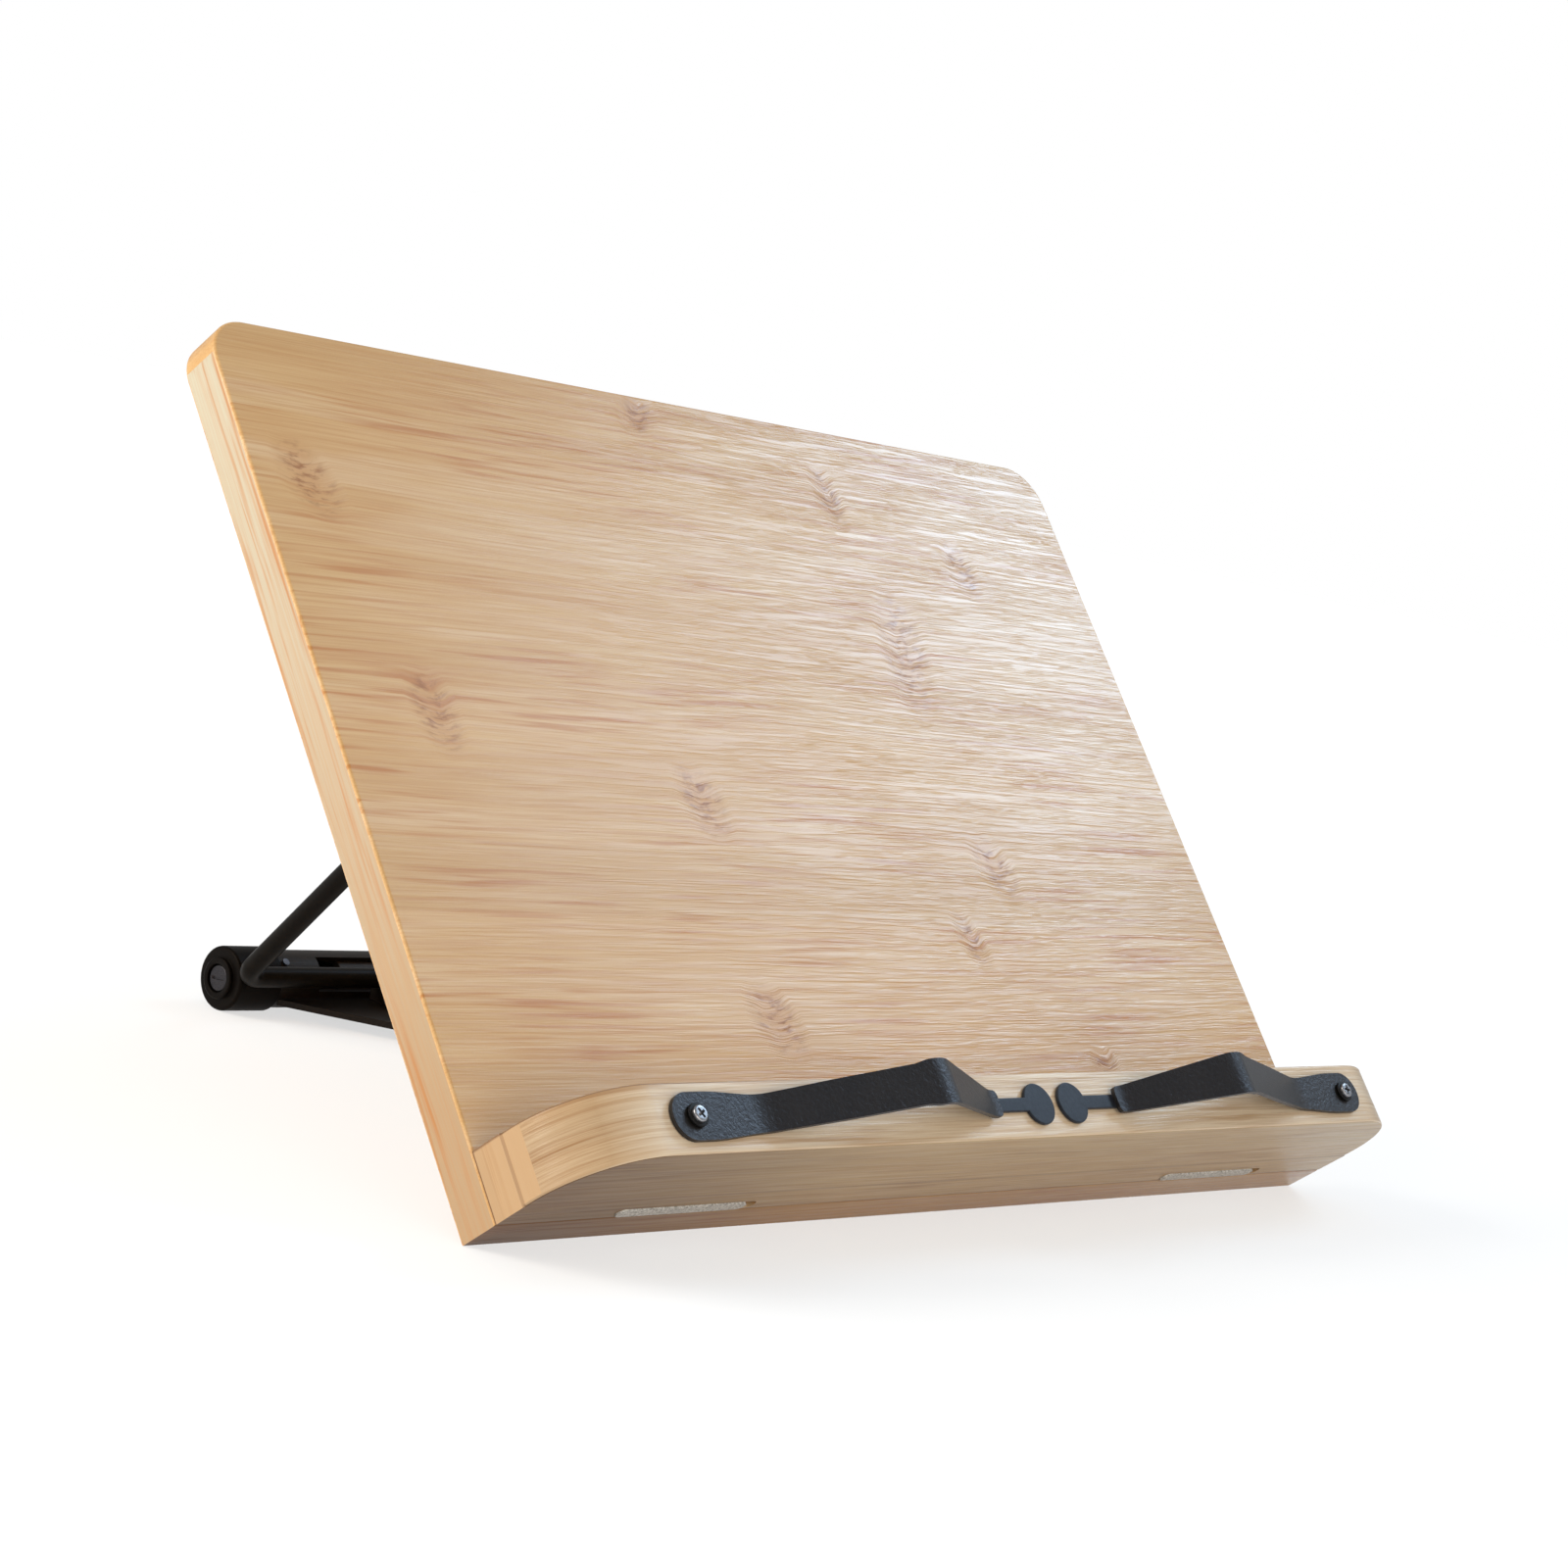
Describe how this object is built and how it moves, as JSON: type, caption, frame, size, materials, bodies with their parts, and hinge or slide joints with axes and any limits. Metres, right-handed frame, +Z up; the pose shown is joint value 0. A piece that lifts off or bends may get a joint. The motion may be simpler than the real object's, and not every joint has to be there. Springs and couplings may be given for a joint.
{
  "type": "book stand",
  "caption": "Folding desk book stand: tilted bamboo board with a ledge, swivelling page clips and a hinged steel leg with a toothed rack and strut.",
  "frame": {"origin": "on the table, under the middle of the stand's bounding box", "axes": "+X along the board to the reader's right, +Y to the rear, +Z up"},
  "size_m": [0.34, 0.2637, 0.1939],
  "materials": {
    "board_bamboo": "satin lacquered bamboo",
    "ledge_bamboo": "satin lacquered bamboo",
    "dowel_beech": "plain beech dowel",
    "grip_foam": "pale anti-slip foam rubber",
    "clip_coat": "fine textured black powder coat on steel strap",
    "tongue_coat": "smooth black coat on thin steel",
    "bush_black": "black bush",
    "clip_screw_steel": "bright plated screw",
    "pin_steel": "blackened steel pin",
    "wood_screw_black": "black wood screws",
    "bracket_coat": "black powder coat",
    "rod_coat": "black powder coat on steel rod",
    "leg_coat": "black powder coat on steel plate",
    "tube_coat": "black powder coat on steel tube",
    "core_coat": "black coat",
    "rivet_steel": "bare steel rivet heads",
    "foot_rubber": "black rubber cap",
    "foot_screw_black": "black slotted screw"
  },
  "bodies": {
    "board": {"back_board": "board_bamboo", "ledge_strip": "ledge_bamboo", "ledge_nose": "ledge_bamboo", "ledge_dowels": "dowel_beech", "grip_strip_left": "grip_foam", "grip_strip_right": "grip_foam", "clip_bush_left": "bush_black", "clip_bush_right": "bush_black", "clip_screw_left": "clip_screw_steel", "clip_screw_right": "clip_screw_steel", "hinge_leaf": "leg_coat", "hinge_pin": "pin_steel", "hinge_screws": "wood_screw_black", "strut_bracket_left": "bracket_coat", "strut_bracket_right": "bracket_coat", "bracket_screws": "wood_screw_black"},
    "leg": {"leg_plate": "leg_coat", "rack_left": "leg_coat", "rack_right": "leg_coat", "rear_tube": "tube_coat", "tube_core": "core_coat", "tube_rivets": "rivet_steel", "foot_cap_left": "foot_rubber", "foot_cap_right": "foot_rubber", "foot_screw_left": "foot_screw_black", "foot_screw_right": "foot_screw_black"},
    "strut": {"strut_rod": "rod_coat"},
    "clip_left": {"clip_strap_left": "clip_coat", "clip_tongue_left": "tongue_coat"},
    "clip_right": {"clip_strap_right": "clip_coat", "clip_tongue_right": "tongue_coat"}
  },
  "joints": [
    {"name": "leg_fold", "type": "hinge", "parent": "board", "child": "leg", "pos_m": [0, -0.07249, 0.0042], "axis": [-1, 0, 0], "range_deg": [0, 60]},
    {"name": "strut_fold", "type": "hinge", "parent": "board", "child": "strut", "pos_m": [0, 0.02066, 0.11204], "axis": [-1, 0, 0], "range_deg": [0, 82.9]},
    {"name": "clip_left_swivel", "type": "hinge", "parent": "board", "child": "clip_left", "pos_m": [-0.136, -0.11431, 0.03793], "axis": [0, -0.7581, 0.6521], "range_deg": [0, 180]},
    {"name": "clip_right_swivel", "type": "hinge", "parent": "board", "child": "clip_right", "pos_m": [0.136, -0.11431, 0.03793], "axis": [0, 0.7581, -0.6521], "range_deg": [0, 180]}
  ],
  "couplings": [
    {"joint": "strut_fold", "follows": "leg_fold", "ratio": 1.3804}
  ]
}
